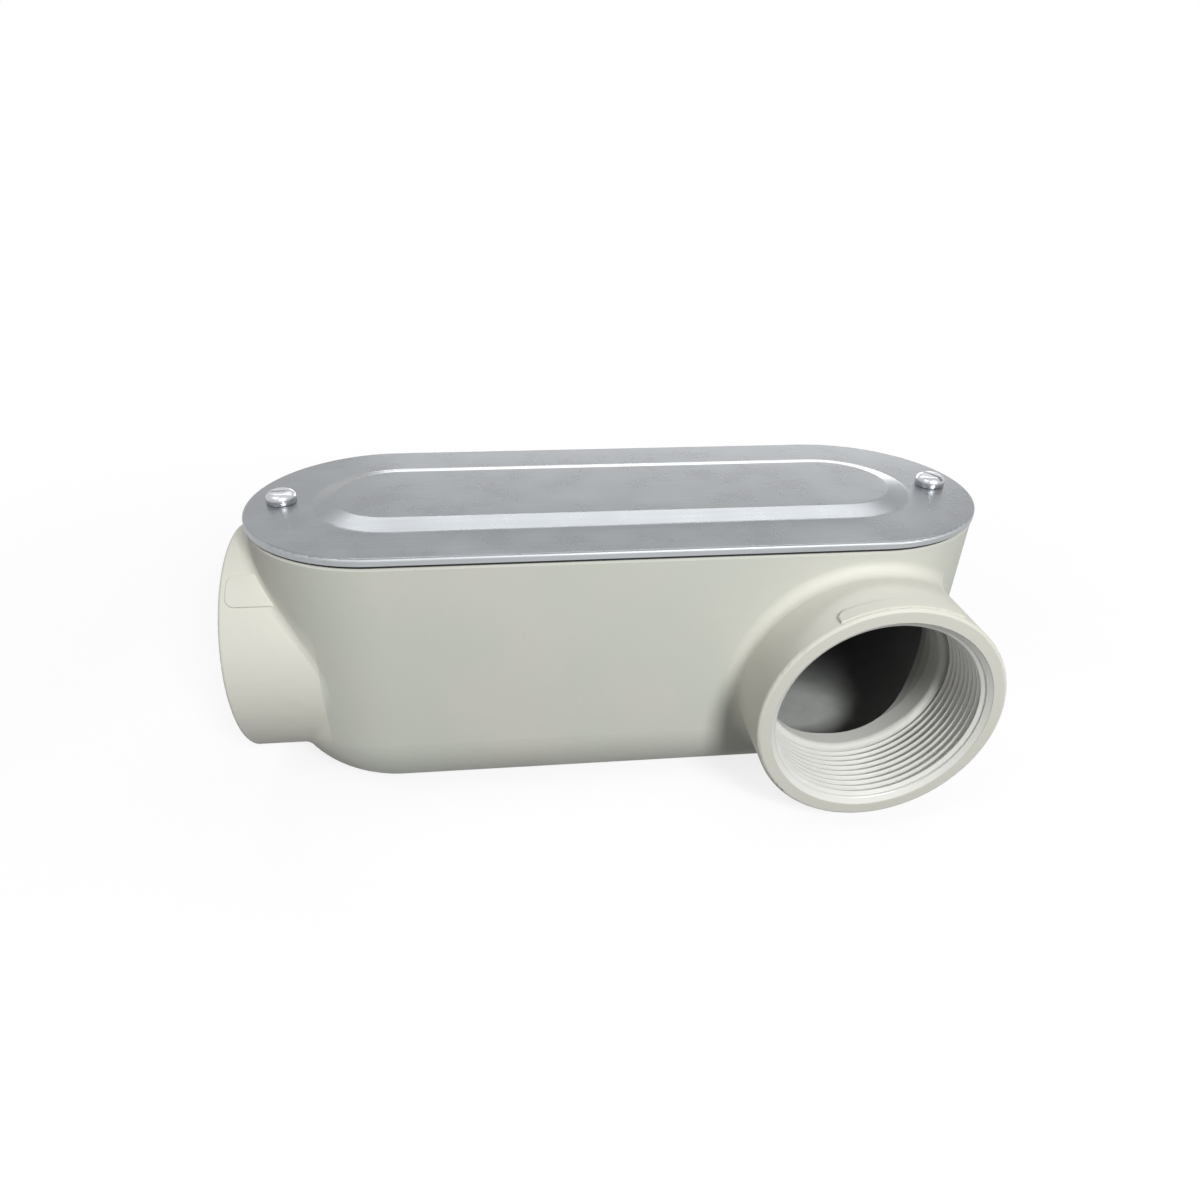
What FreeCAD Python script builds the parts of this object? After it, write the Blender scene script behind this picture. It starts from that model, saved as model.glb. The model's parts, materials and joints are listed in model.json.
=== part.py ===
"""Threaded conduit body, right-hand pattern, with a gasketed cover held by two screws.

Frame: the origin is the centre of the flat base, +Z points up to the cover and +X runs
along the body, away from the end hub. The side hub opens towards -Y. Millimetres.
"""

import FreeCAD, Part
import Sketcher
import math
import os

from FreeCAD import Placement, Rotation, Vector

# Driving dimensions: alias, value, meaning.
SIZES = [
    ("cover_length", 322.0, "cover, end to end"),
    ("cover_thickness", 3.0, "plate of the cover"),
    ("cover_overhang", 0.5, "how far the cover stands past the body's rim"),
    ("cover_edge_round", 1.2, "round on the top edge of the cover"),
    ("panel_end_margin", 28.0, "end of the cover to the foot of its raised panel"),
    ("panel_side_margin", 24.0, "side of the cover to the foot of its raised panel"),
    ("panel_rise", 2.5, "height of the raised panel above the plate"),
    ("panel_slope_run", 9.5, "width of the slope round the panel"),
    ("panel_foot_round", 6.0, "round where the slope leaves the plate"),
    ("panel_crest_round", 4.0, "round where the slope meets the panel's top"),
    ("gasket_thickness", 1.6, "compressed gasket"),
    ("gasket_inset", 1.6, "gasket edge inside the cover's edge"),
    ("gasket_band", 6.5, "width of the gasket's band"),
    ("gasket_eyelet_wall", 5.95, "gasket round the screw's hole"),
    ("body_draft", 0.8, "draft of the body's walls, in degrees"),
    ("base_round", 36.0, "round between the walls and the base"),
    ("wall_thickness", 5.0, "walls of the casting"),
    ("floor_thickness", 5.5, "floor of the casting"),
    ("rim_bevel", 0.7, "bevel on the outer edge of the rim"),
    ("thread_diameter", 88.6, "major diameter of the tapped pipe thread"),
    ("thread_depth", 29.0, "length of the tapped wall, behind its bevel"),
    ("mouth_bevel", 2.0, "bevel that leads into the thread"),
    ("hub_wall", 7.7, "wall of a hub round its thread"),
    ("hub_top_land", 9.0, "rim above the top of the hubs"),
    ("hub_base_land", 9.0, "bottom of the hubs above the base"),
    ("hub_side_land", 7.0, "body's side past the side of the end hub"),
    ("hub_root_round", 5.0, "round where a hub leaves the body"),
    ("hub_edge_round", 1.5, "round on the outer edge of a hub's mouth"),
    ("end_hub_reach", 8.0, "end hub's mouth past the end of the cover"),
    ("side_hub_reach", 30.0, "side hub's mouth past the side of the cover"),
    ("side_hub_setback", 61.5, "side hub's axis from the far end of the cover"),
    ("bushing_step", 5.3, "bushing stands in from the tapped wall"),
    ("bushing_length", 6.0, "bushing, from the thread's end to its inner end"),
    ("bushing_round", 2.4, "rounded lip of the bushing"),
    ("barrel_wall", 4.7, "wall of the end hub's inner end, round its thread"),
    ("pad_rise", 0.9, "cast pad above its hub"),
    ("pad_corner", 4.0, "corners at a cast pad's free end, seen square to the hub"),
    ("pad_edge_round", 0.5, "round on the top edge at a cast pad's free end"),
    ("end_pad_setback", 3.0, "end hub's pad from the mouth"),
    ("end_pad_start", 42.5, "end hub's pad, lower edge above level, in degrees"),
    ("end_pad_spread", 16.0, "end hub's pad, angle covered, in degrees"),
    ("side_pad_setback", 2.0, "side hub's pad from the mouth"),
    ("side_pad_length", 6.2, "side hub's pad along the hub"),
    ("side_pad_spread", 56.0, "side hub's pad, angle covered over the top, in degrees"),
    ("screw_inset", 15.0, "cover screw from the end of the cover"),
    ("screw_diameter", 6.3, "shank of a cover screw"),
    ("screw_length", 15.9, "cover screw under its head"),
    ("screw_point", 0.8, "bevel at the screw's tip"),
    ("head_diameter", 12.8, "head of a cover screw"),
    ("head_height", 4.8, "height of the head"),
    ("head_round", 3.0, "round over the head"),
    ("slot_width", 1.7, "driver slot"),
    ("slot_depth", 2.0, "depth of the driver slot"),
    ("left_slot_angle", 4.0, "left screw's slot from the X axis, in degrees"),
    ("right_slot_angle", 118.0, "right screw's slot from the X axis, in degrees"),
    ("screw_hole_clearance", 0.4, "gap all round a screw in cover and gasket"),
    ("tapped_hole_clearance", 0.08, "gap all round a screw in its lug"),
    ("tapped_hole_spare", 1.7, "depth of the tapped hole past the screw's tip"),
    ("lug_wall", 5.85, "wall of a screw lug round its hole"),
    ("lug_root", 2.0, "depth of the end lug into the barrel below it"),
    ("far_lug_depth", 27.0, "lug at the far end, below the rim"),
]

EDGE_TOLERANCE = 0.02
RIGHT_ANGLE = 90
QUARTER_TURN = math.pi / 2


class Size:
    """A length or angle as both a number and the expression that binds it to the sheet."""

    def __init__(self, value, text):
        self.value = value
        self.text = text

    def _join(self, other, sign, value):
        text = other.text if isinstance(other, Size) else str(other)
        return Size(value, "(" + self.text + " " + sign + " " + text + ")")

    def __add__(self, other):
        return self._join(other, "+", self.value + number(other))

    def __sub__(self, other):
        return self._join(other, "-", self.value - number(other))

    def __mul__(self, factor):
        return self._join(factor, "*", self.value * number(factor))

    def __truediv__(self, divisor):
        return self._join(divisor, "/", self.value / number(divisor))

    def __neg__(self):
        return self * -1


def number(size):
    return size.value if isinstance(size, Size) else float(size)


def arctangent(size):
    """The angle, in degrees, whose tangent is a ratio of two lengths."""
    return Size(math.degrees(math.atan(size.value)), "atan(" + size.text + ")")


def tangent(size):
    return Size(math.tan(math.radians(size.value)), "tan(" + size.text + ")")


doc = FreeCAD.newDocument("conduit_body")
sheet = doc.addObject("Spreadsheet::Sheet", "Sizes")
for row, (alias, value, meaning) in enumerate(SIZES, start=1):
    sheet.set("A%d" % row, alias)
    sheet.set("B%d" % row, str(value))
    sheet.set("C%d" % row, meaning)
    sheet.setAlias("B%d" % row, alias)
doc.recompute()


def cell(alias):
    return Size(float(sheet.get(alias)), "Sizes." + alias)


# Sizes and places that several pieces share, worked out from the sheet.
hub_diameter = cell("thread_diameter") + cell("hub_wall") * 2
throat_diameter = cell("thread_diameter") - cell("bushing_step") * 2
bore_depth = cell("mouth_bevel") + cell("thread_depth")
body_height = cell("hub_base_land") + hub_diameter + cell("hub_top_land")
hub_height = cell("hub_base_land") + hub_diameter / 2
body_width = hub_diameter + cell("hub_side_land") * 2
body_length = cell("cover_length") - cell("cover_overhang") * 2
cover_width = body_width + cell("cover_overhang") * 2
cover_seat = body_height + cell("gasket_thickness")
cover_top = cover_seat + cell("cover_thickness")
end_mouth = -(cell("cover_length") / 2 + cell("end_hub_reach"))
side_mouth = -(cover_width / 2 + cell("side_hub_reach"))
side_hub_x = cell("cover_length") / 2 - cell("side_hub_setback")
screw_x = cell("cover_length") / 2 - cell("screw_inset")
screw_hole = cell("screw_diameter") + cell("screw_hole_clearance") * 2
end_hub_origin = (end_mouth, hub_height, None)
side_hub_origin = (side_mouth, hub_height, side_hub_x)


def bind(thing, prop, size):
    thing.setExpression(prop, size.text)


def new_body(label):
    body = doc.addObject("PartDesign::Body", label)
    body.Label = label
    return body


def new_sketch(body, name, role, offset, turn=None):
    """A sketch on one of the body's own origin planes, moved along the plane's own axes.

    turn is (axis, size): the plane is then turned by that angle about that axis of its own.
    """
    sketch = body.newObject("Sketcher::SketchObject", name)
    plane = [p for p in body.Origin.OriginFeatures if p.Role == role][0]
    sketch.AttachmentSupport = [(plane, "")]
    sketch.MapMode = "FlatFace"
    if turn:
        sketch.AttachmentOffset = Placement(Vector(), Rotation(turn[0], 1.0))
        bind(sketch, "AttachmentOffset.Rotation.Angle", turn[1])
    for letter, size in zip("xyz", offset):
        if size:
            bind(sketch, "AttachmentOffset.Base." + letter, size)
    return sketch


def rule(sketch, *arguments):
    sketch.addConstraint(Sketcher.Constraint(*arguments))


def dimension(sketch, kind, *arguments):
    """A constraint whose last argument is a Size, bound to the sheet."""
    size = arguments[-1]
    index = sketch.addConstraint(Sketcher.Constraint(kind, *arguments[:-1], size.value))
    bind(sketch, "Constraints[%d]" % index, size)


def add_line(sketch, start, end):
    return sketch.addGeometry(Part.LineSegment(Vector(*start, 0), Vector(*end, 0)))


def add_arc(sketch, centre_x, radius, start, end):
    circle = Part.Circle(Vector(centre_x, 0, 0), Vector(0, 0, 1), radius)
    return sketch.addGeometry(Part.ArcOfCircle(circle, start, end))


def draw_obround(sketch, length, width):
    """A rounded-end outline about the sketch's origin, long way along its X axis."""
    radius = width.value / 2
    reach = length.value / 2 - radius
    add_line(sketch, (-reach, -radius), (reach, -radius))
    add_arc(sketch, reach, radius, -QUARTER_TURN, QUARTER_TURN)
    add_line(sketch, (reach, radius), (-reach, radius))
    add_arc(sketch, -reach, radius, QUARTER_TURN, 3 * QUARTER_TURN)
    rule(sketch, "Tangent", 0, 2, 1, 1)
    rule(sketch, "Tangent", 1, 2, 2, 1)
    rule(sketch, "Tangent", 2, 2, 3, 1)
    rule(sketch, "Tangent", 3, 2, 0, 1)
    rule(sketch, "Symmetric", 1, 3, 3, 3, -1, 1)
    rule(sketch, "PointOnObject", 1, 3, -1)
    dimension(sketch, "Radius", 1, width / 2)
    dimension(sketch, "DistanceX", 3, 3, 1, 3, length - width)


def draw_circle(sketch, diameter, centre=None):
    """A circle at the sketch's origin, or at a place along its X axis."""
    middle = Vector(number(centre or 0), 0, 0)
    index = sketch.addGeometry(Part.Circle(middle, Vector(0, 0, 1), diameter.value / 2))
    if centre:
        rule(sketch, "PointOnObject", index, 3, -1)
        dimension(sketch, "DistanceX", -1, 1, index, 3, centre)
    else:
        rule(sketch, "Coincident", index, 3, -1, 1)
    dimension(sketch, "Diameter", index, diameter)


def draw_profile(sketch, points):
    """A closed outline of straight lines. A coordinate of None lies on the sketch's axis."""
    count = len(points)
    places = [(number(x or 0), number(y or 0)) for x, y in points]
    for i in range(count):
        add_line(sketch, places[i], places[(i + 1) % count])
    for i, (x, y) in enumerate(points):
        rule(sketch, "Coincident", i, 1, (i - 1) % count, 2)
        if x:
            dimension(sketch, "DistanceX", -1, 1, i, 1, x)
        else:
            rule(sketch, "PointOnObject", i, 1, -2)
        if y:
            dimension(sketch, "DistanceY", -1, 1, i, 1, y)
        else:
            rule(sketch, "PointOnObject", i, 1, -1)


def settle(feature):
    """Recomputes the document and stops the build if the new feature failed."""
    doc.recompute()
    if not feature.isValid():
        raise RuntimeError(feature.Name + ": " + feature.getStatusString())
    return feature


def extrude(body, kind, name, sketch, length, reverse=False, taper=None):
    """A Pad or a Pocket of a sketch, its length and taper bound to the sheet."""
    feature = body.newObject("PartDesign::" + kind, name)
    feature.Profile = sketch
    feature.Reversed = reverse
    bind(feature, "Length", length)
    if taper:
        bind(feature, "TaperAngle", taper)
    return settle(feature)


def turn_profile(body, kind, name, sketch, axis, angle=None):
    """A Revolution or a Groove of a sketch about one of the sketch's own axes."""
    feature = body.newObject("PartDesign::" + kind, name)
    feature.Profile = sketch
    feature.ReferenceAxis = (sketch, [axis])
    if angle:
        bind(feature, "Angle", angle)
    return settle(feature)


def dress(body, kind, name, size, edge_test):
    """A Fillet or a Chamfer on the edges that a test picks from the body so far."""
    base = body.Tip
    picked = [i for i, edge in enumerate(base.Shape.Edges, start=1) if edge_test(edge)]
    if not picked:
        raise RuntimeError(name + ": no edge to dress")
    feature = body.newObject("PartDesign::" + kind, name)
    feature.Base = (base, ["Edge%d" % i for i in picked])
    bind(feature, "Radius" if kind == "Fillet" else "Size", size)
    return settle(feature)


def must_cut(body, volume_before):
    """Stops the build if the last feature took nothing away."""
    if body.Shape.Volume > volume_before - 1.0:
        raise RuntimeError(body.Tip.Name + " cut nothing")


def spread(edge, measure, count=7):
    """The lowest and highest value of a measure over points along an edge."""
    values = [measure(point) for point in edge.discretize(count)]
    return min(values), max(values)


def stays_at(edge, measure, place):
    """True if a measure has one value all along an edge."""
    low, high = spread(edge, measure)
    return abs(low - place) < EDGE_TOLERANCE and abs(high - place) < EDGE_TOLERANCE


def height_of(point):
    return point.z


def from_end_axis(point):
    return math.hypot(point.y, point.z - hub_height.value)


def from_side_axis(point):
    return math.hypot(point.x - side_hub_x.value, point.z - hub_height.value)


def along_end_hub(point):
    return point.x - end_mouth.value


def along_side_hub(point):
    return point.y - side_mouth.value


def from_outline(length, width):
    """A measure: how far a point is from a rounded-end outline, seen from above."""
    straight = (length.value - width.value) / 2
    radius = width.value / 2

    def gap(point):
        return abs(math.hypot(max(abs(point.x) - straight, 0.0), point.y) - radius)

    return gap


def is_hub_root(edge):
    """True on the seams between a hub's round wall and the drafted body."""
    hubs = ((from_end_axis, along_end_hub), (from_side_axis, along_side_hub))
    straight = edge.Curve.TypeId == "Part::GeomLine"
    return any(
        stays_at(edge, distance, hub_diameter.value / 2) and spread(edge, along)[0] > 1.0 and not straight
        for distance, along in hubs
    )


def add_outer_form(body):
    """The drafted tub with its round base, and the two hubs that leave it."""
    outline = new_sketch(body, "rim_outline", "XY_Plane", (None, None, body_height))
    draw_obround(outline, body_length, body_width)
    extrude(body, "Pad", "tub", outline, body_height, reverse=True, taper=-cell("body_draft"))
    dress(body, "Fillet", "round_base", cell("base_round"), lambda e: stays_at(e, height_of, 0.0))
    circle = new_sketch(body, "end_hub_circle", "YZ_Plane", (None, hub_height, end_mouth))
    draw_circle(circle, hub_diameter)
    extrude(body, "Pad", "end_hub", circle, cell("end_hub_reach") + cover_width / 2)
    circle = new_sketch(body, "side_hub_circle", "XZ_Plane", (side_hub_x, hub_height, -side_mouth))
    draw_circle(circle, hub_diameter)
    extrude(body, "Pad", "side_hub", circle, -side_mouth, reverse=True)
    dress(body, "Fillet", "hub_roots", cell("hub_root_round"), is_hub_root)


def add_cast_pad(body, name, role, origin, hub, start, spread_angle, front, back, free):
    """A low pad on a hub's round wall, between two distances behind the hub's mouth.

    Its section is turned about the hub's axis from one edge of the pad to the other. hub
    holds the hub's two measures: distance from its axis and distance behind its mouth. free
    is the end of the pad, front or back, whose corners and top edge are rounded.
    """
    section = new_sketch(body, name + "_section", role, origin, (Vector(1, 0, 0), start))
    inner = hub_diameter / 2 - cell("hub_wall") / 2
    outer = hub_diameter / 2 + cell("pad_rise")
    draw_profile(section, [(front, inner), (back, inner), (back, outer), (front, outer)])
    turn_profile(body, "Revolution", name, section, "H_Axis", spread_angle)
    distance, along = hub
    low = hub_diameter.value / 2
    high = outer.value

    def is_corner(edge):
        nearest, farthest = spread(edge, distance)
        on_wall = abs(nearest - low) < EDGE_TOLERANCE and abs(farthest - high) < EDGE_TOLERANCE
        return on_wall and stays_at(edge, along, free.value)

    dress(body, "Fillet", name + "_corners", cell("pad_corner"), is_corner)
    dress(
        body, "Fillet", name + "_edge", cell("pad_edge_round"),
        lambda e: stays_at(e, distance, high) and stays_at(e, along, free.value),
    )


def build_cavity_form():
    """The wiring space as a solid: the tub's own form, one wall thickness in."""
    form = new_body("cavity_form")
    wall = cell("wall_thickness")
    floor = cell("floor_thickness")
    outline = new_sketch(form, "cavity_outline", "XY_Plane", (None, None, body_height))
    draw_obround(outline, body_length - wall * 2, body_width - wall * 2)
    extrude(form, "Pad", "cavity", outline, body_height - floor, reverse=True, taper=-cell("body_draft"))
    dress(
        form, "Fillet", "round_floor", cell("base_round") - wall,
        lambda e: stays_at(e, height_of, floor.value),
    )
    return form


def add_cavity(body):
    """Takes the wiring space out of the casting."""
    before = body.Shape.Volume
    form = build_cavity_form()
    hollow = body.newObject("PartDesign::Boolean", "hollow")
    hollow.setObjects([form])
    hollow.Type = "Cut"
    settle(hollow)
    must_cut(body, before)


def add_barrel(body):
    """The inner end of the end hub, which carries its thread and bushing into the cavity."""
    wall = cell("wall_thickness")
    start = wall * 2 - cell("cover_length") / 2
    circle = new_sketch(body, "barrel_circle", "YZ_Plane", (None, hub_height, start))
    draw_circle(circle, cell("thread_diameter") + cell("barrel_wall") * 2)
    length = bore_depth + cell("bushing_length") - cell("end_hub_reach") - wall * 2
    extrude(body, "Pad", "barrel", circle, length)


def add_lug(body, name, side, depth):
    """A lug under the rim that takes one cover screw, joined to the end wall."""
    radius = cell("screw_diameter") / 2 + cell("lug_wall")
    outer = cell("cover_length") / 2 - cell("wall_thickness") / 2
    centre = screw_x if side > 0 else -screw_x
    wall = outer if side > 0 else -outer
    sketch = new_sketch(body, name + "_outline", "XY_Plane", (None, None, body_height))
    start = side * QUARTER_TURN
    half = side * radius.value
    add_arc(sketch, centre.value, radius.value, start, start + 2 * QUARTER_TURN)
    add_line(sketch, (centre.value, -half), (wall.value, -half))
    add_line(sketch, (wall.value, -half), (wall.value, half))
    add_line(sketch, (wall.value, half), (centre.value, half))
    rule(sketch, "Tangent", 0, 2, 1, 1)
    rule(sketch, "Coincident", 1, 2, 2, 1)
    rule(sketch, "Coincident", 2, 2, 3, 1)
    rule(sketch, "Tangent", 3, 2, 0, 1)
    rule(sketch, "Vertical", 2)
    rule(sketch, "Horizontal", 1)
    rule(sketch, "PointOnObject", 0, 3, -1)
    dimension(sketch, "Radius", 0, radius)
    dimension(sketch, "DistanceX", -1, 1, 0, 3, centre)
    dimension(sketch, "DistanceX", -1, 1, 1, 2, wall)
    extrude(body, "Pad", name, sketch, depth, reverse=True)


def add_bore(body, name, role, origin):
    """A hub's bore, turned: leading bevel, tapped wall, and the throat of the bushing."""
    section = new_sketch(body, name + "_section", role, origin)
    bevel = cell("mouth_bevel")
    thread = cell("thread_diameter") / 2
    throat = throat_diameter / 2
    through = cover_width / 2
    draw_profile(section, [
        (None, None),
        (through, None),
        (through, throat),
        (bore_depth, throat),
        (bore_depth, thread),
        (bevel, thread),
        (None, thread + bevel),
    ])
    before = body.Shape.Volume
    turn_profile(body, "Groove", name, section, "H_Axis")
    must_cut(body, before)


def add_tapped_hole(body, name, centre):
    """The blind hole of one cover screw, a named gap larger than the screw's shank."""
    sketch = new_sketch(body, name + "_circle", "XY_Plane", (None, None, body_height))
    draw_circle(sketch, cell("screw_diameter") + cell("tapped_hole_clearance") * 2, centre)
    before = body.Shape.Volume
    screw_end = cell("screw_length") - cell("cover_thickness") - cell("gasket_thickness")
    extrude(body, "Pocket", name, sketch, screw_end + cell("tapped_hole_spare"))
    must_cut(body, before)


def soften_edges(body):
    """Rounds the mouths and the bushings' lips, and bevels the rim's outer edge."""
    throat = throat_diameter.value / 2
    hubs = (("end", from_end_axis, along_end_hub), ("side", from_side_axis, along_side_hub))
    for name, distance, along in hubs:
        dress(
            body, "Fillet", name + "_mouth_round", cell("hub_edge_round"),
            lambda e: stays_at(e, distance, hub_diameter.value / 2) and stays_at(e, along, 0.0),
        )
        dress(
            body, "Fillet", name + "_bushing_lip", cell("bushing_round"),
            lambda e: stays_at(e, distance, throat) and stays_at(e, along, bore_depth.value),
        )
    inner_end = bore_depth + cell("bushing_length")
    dress(
        body, "Fillet", "barrel_lip", cell("bushing_round"),
        lambda e: stays_at(e, from_end_axis, throat) and stays_at(e, along_end_hub, inner_end.value),
    )
    on_outline = from_outline(body_length, body_width)
    dress(
        body, "Chamfer", "rim_edge", cell("rim_bevel"),
        lambda e: stays_at(e, height_of, body_height.value) and stays_at(e, on_outline, 0.0),
    )


def build_body():
    """The casting: tub, hubs, cavity, lugs and bores in one piece."""
    body = new_body("body")
    add_outer_form(body)
    # A pad's section starts over the hub's top and is turned down, so its first edge is the upper one.
    end_pad_top = -cell("end_pad_start") - cell("end_pad_spread") + RIGHT_ANGLE
    add_cast_pad(
        body, "end_pad", "XZ_Plane", end_hub_origin, (from_end_axis, along_end_hub),
        end_pad_top, cell("end_pad_spread"), cell("end_pad_setback"),
        hub_diameter / 2 - cell("end_hub_reach"), cell("end_pad_setback"),
    )
    side_pad_back = cell("side_pad_setback") + cell("side_pad_length")
    add_cast_pad(
        body, "side_pad", "YZ_Plane", side_hub_origin, (from_side_axis, along_side_hub),
        -cell("side_pad_spread") / 2, cell("side_pad_spread"), cell("side_pad_setback"),
        side_pad_back, side_pad_back,
    )
    add_cavity(body)
    add_barrel(body)
    barrel_land = cell("hub_top_land") + cell("hub_wall") - cell("barrel_wall")
    add_lug(body, "end_lug", -1, barrel_land + cell("lug_root"))
    add_lug(body, "far_lug", 1, cell("far_lug_depth"))
    add_bore(body, "end_bore", "XZ_Plane", end_hub_origin)
    add_bore(body, "side_bore", "YZ_Plane", side_hub_origin)
    add_tapped_hole(body, "end_tapped_hole", -screw_x)
    add_tapped_hole(body, "far_tapped_hole", screw_x)
    soften_edges(body)
    return body


def add_screw_holes(body, name, top, depth):
    """Two plain holes for the cover screws, down through a sheet from its top."""
    sketch = new_sketch(body, name + "_circles", "XY_Plane", (None, None, top))
    draw_circle(sketch, screw_hole, screw_x)
    draw_circle(sketch, screw_hole, -screw_x)
    before = body.Shape.Volume
    extrude(body, "Pocket", name, sketch, depth)
    must_cut(body, before)


def build_gasket():
    """A flat ring that follows the rim, with an eyelet round each screw."""
    gasket = new_body("gasket")
    thickness = cell("gasket_thickness")
    length = cell("cover_length") - cell("gasket_inset") * 2
    width = cover_width - cell("gasket_inset") * 2
    band = cell("gasket_band") * 2
    outline = new_sketch(gasket, "gasket_outline", "XY_Plane", (None, None, body_height))
    draw_obround(outline, length, width)
    extrude(gasket, "Pad", "gasket_sheet", outline, thickness)
    before = gasket.Shape.Volume
    opening = new_sketch(gasket, "gasket_opening", "XY_Plane", (None, None, cover_seat))
    draw_obround(opening, length - band, width - band)
    extrude(gasket, "Pocket", "gasket_hole", opening, thickness)
    must_cut(gasket, before)
    eyelet = screw_hole + cell("gasket_eyelet_wall") * 2
    eyelets = new_sketch(gasket, "gasket_eyelets", "XY_Plane", (None, None, body_height))
    draw_circle(eyelets, eyelet, screw_x)
    draw_circle(eyelets, eyelet, -screw_x)
    extrude(gasket, "Pad", "eyelets", eyelets, thickness)
    add_screw_holes(gasket, "gasket_screw_holes", cover_seat, thickness)
    return gasket


def build_cover():
    """A plate with rounded ends, raised over most of its top and hollow under the raised part."""
    cover = new_body("cover")
    length = cell("cover_length")
    rise = cell("panel_rise")
    run = cell("panel_slope_run")
    panel_length = length - cell("panel_end_margin") * 2
    panel_width = cover_width - cell("panel_side_margin") * 2
    outline = new_sketch(cover, "cover_outline", "XY_Plane", (None, None, cover_seat))
    draw_obround(outline, length, cover_width)
    extrude(cover, "Pad", "plate", outline, cell("cover_thickness"))
    foot = new_sketch(cover, "panel_foot", "XY_Plane", (None, None, cover_top))
    draw_obround(foot, panel_length, panel_width)
    lean = -arctangent(run / rise)
    extrude(cover, "Pad", "raised_panel", foot, rise, taper=lean)
    # The hollow lies one plate thickness, measured square to the slope, under the panel.
    inset = cell("cover_thickness") * tangent(arctangent(rise / run) / 2) * 2
    before = cover.Shape.Volume
    hollow = new_sketch(cover, "panel_hollow_foot", "XY_Plane", (None, None, cover_seat))
    draw_obround(hollow, panel_length - inset, panel_width - inset)
    extrude(cover, "Pocket", "panel_hollow", hollow, rise, reverse=True, taper=lean)
    must_cut(cover, before)
    add_screw_holes(cover, "cover_screw_holes", cover_top, cell("cover_thickness"))
    crest = (cover_top + rise).value
    on_foot = from_outline(panel_length, panel_width)
    on_edge = from_outline(length, cover_width)
    dress(cover, "Fillet", "panel_crest", cell("panel_crest_round"), lambda e: stays_at(e, height_of, crest))
    dress(
        cover, "Fillet", "panel_foot_blend", cell("panel_foot_round"),
        lambda e: stays_at(e, height_of, cover_top.value) and stays_at(e, on_foot, 0.0),
    )
    dress(
        cover, "Fillet", "cover_edge", cell("cover_edge_round"),
        lambda e: stays_at(e, height_of, cover_top.value) and stays_at(e, on_edge, 0.0),
    )
    return cover


def build_screw(name, centre, slot_angle):
    """A slotted pan-head screw, standing on the cover and running down into its lug."""
    screw = new_body(name)
    head = cell("head_diameter") / 2
    shank = cell("screw_diameter") / 2
    point = cell("screw_point")
    reach = -cell("screw_length")
    height = cell("head_height")
    section = new_sketch(screw, name + "_section", "XZ_Plane", (centre, cover_top, None))
    draw_profile(section, [
        (None, reach),
        (shank - point, reach),
        (shank, reach + point),
        (shank, None),
        (head, None),
        (head, height),
        (None, height),
    ])
    turn_profile(screw, "Revolution", name + "_turned", section, "V_Axis")
    crown = cover_top + height
    dress(
        screw, "Fillet", name + "_crown", cell("head_round"),
        lambda e: stays_at(e, height_of, crown.value),
    )
    half = cell("slot_width") / 2
    slot = new_sketch(screw, name + "_slot", "XY_Plane", (centre, None, crown), (Vector(0, 0, 1), slot_angle))
    draw_profile(slot, [(-head, -half), (head, -half), (head, half), (-head, half)])
    before = screw.Shape.Volume
    extrude(screw, "Pocket", name + "_slot_cut", slot, cell("slot_depth"))
    must_cut(screw, before)
    return screw


def check(pieces):
    """Stops the build if any object failed or any piece is not one valid solid."""
    for thing in doc.Objects:
        if "Invalid" in thing.State or "Error" in thing.State:
            raise RuntimeError(thing.Label + ": " + str(thing.State))
    for piece in pieces:
        if piece.Shape.isNull() or not piece.Shape.isValid() or len(piece.Shape.Solids) != 1:
            raise RuntimeError(piece.Label + " is not one valid solid")


def main():
    os.makedirs("parts", exist_ok=True)
    pieces = [
        build_body(),
        build_gasket(),
        build_cover(),
        build_screw("cover_screw_left", -screw_x, cell("left_slot_angle")),
        build_screw("cover_screw_right", screw_x, cell("right_slot_angle")),
    ]
    doc.recompute()
    check(pieces)
    for piece in pieces:
        piece.Shape.exportStep(os.path.join("parts", piece.Label + ".step"))
        print(piece.Label, round(piece.Shape.Volume / 1000.0, 1), "cm3")


main()
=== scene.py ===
import json
import math

import bpy
from mathutils import Matrix, Vector


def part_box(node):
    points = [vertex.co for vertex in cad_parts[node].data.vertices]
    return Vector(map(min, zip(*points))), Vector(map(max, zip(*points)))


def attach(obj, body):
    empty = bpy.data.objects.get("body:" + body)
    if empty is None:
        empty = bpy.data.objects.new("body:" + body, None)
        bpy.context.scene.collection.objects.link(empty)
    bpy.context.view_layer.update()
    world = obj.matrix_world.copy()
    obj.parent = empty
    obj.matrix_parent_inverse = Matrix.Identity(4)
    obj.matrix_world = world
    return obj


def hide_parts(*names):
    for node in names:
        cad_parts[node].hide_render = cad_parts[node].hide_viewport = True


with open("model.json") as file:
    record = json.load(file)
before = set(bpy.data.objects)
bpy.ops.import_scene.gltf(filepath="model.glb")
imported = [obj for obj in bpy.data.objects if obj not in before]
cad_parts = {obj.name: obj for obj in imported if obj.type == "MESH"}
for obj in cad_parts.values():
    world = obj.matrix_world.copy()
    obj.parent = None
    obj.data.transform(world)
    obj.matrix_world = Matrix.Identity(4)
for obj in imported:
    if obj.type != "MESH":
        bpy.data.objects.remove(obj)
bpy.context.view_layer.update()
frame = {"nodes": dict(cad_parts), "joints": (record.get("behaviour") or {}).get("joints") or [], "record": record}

bl_info = {
    "name": "Conduit Body",
    "version": (1, 0, 0),
    "blender": (4, 5, 0),
    "location": "View3D > Sidebar > Conduit",
    "description": "Finishes, pipe threads, cover screws and a studio for a threaded conduit body",
    "category": "Object",
}

MM = 0.001

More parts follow.
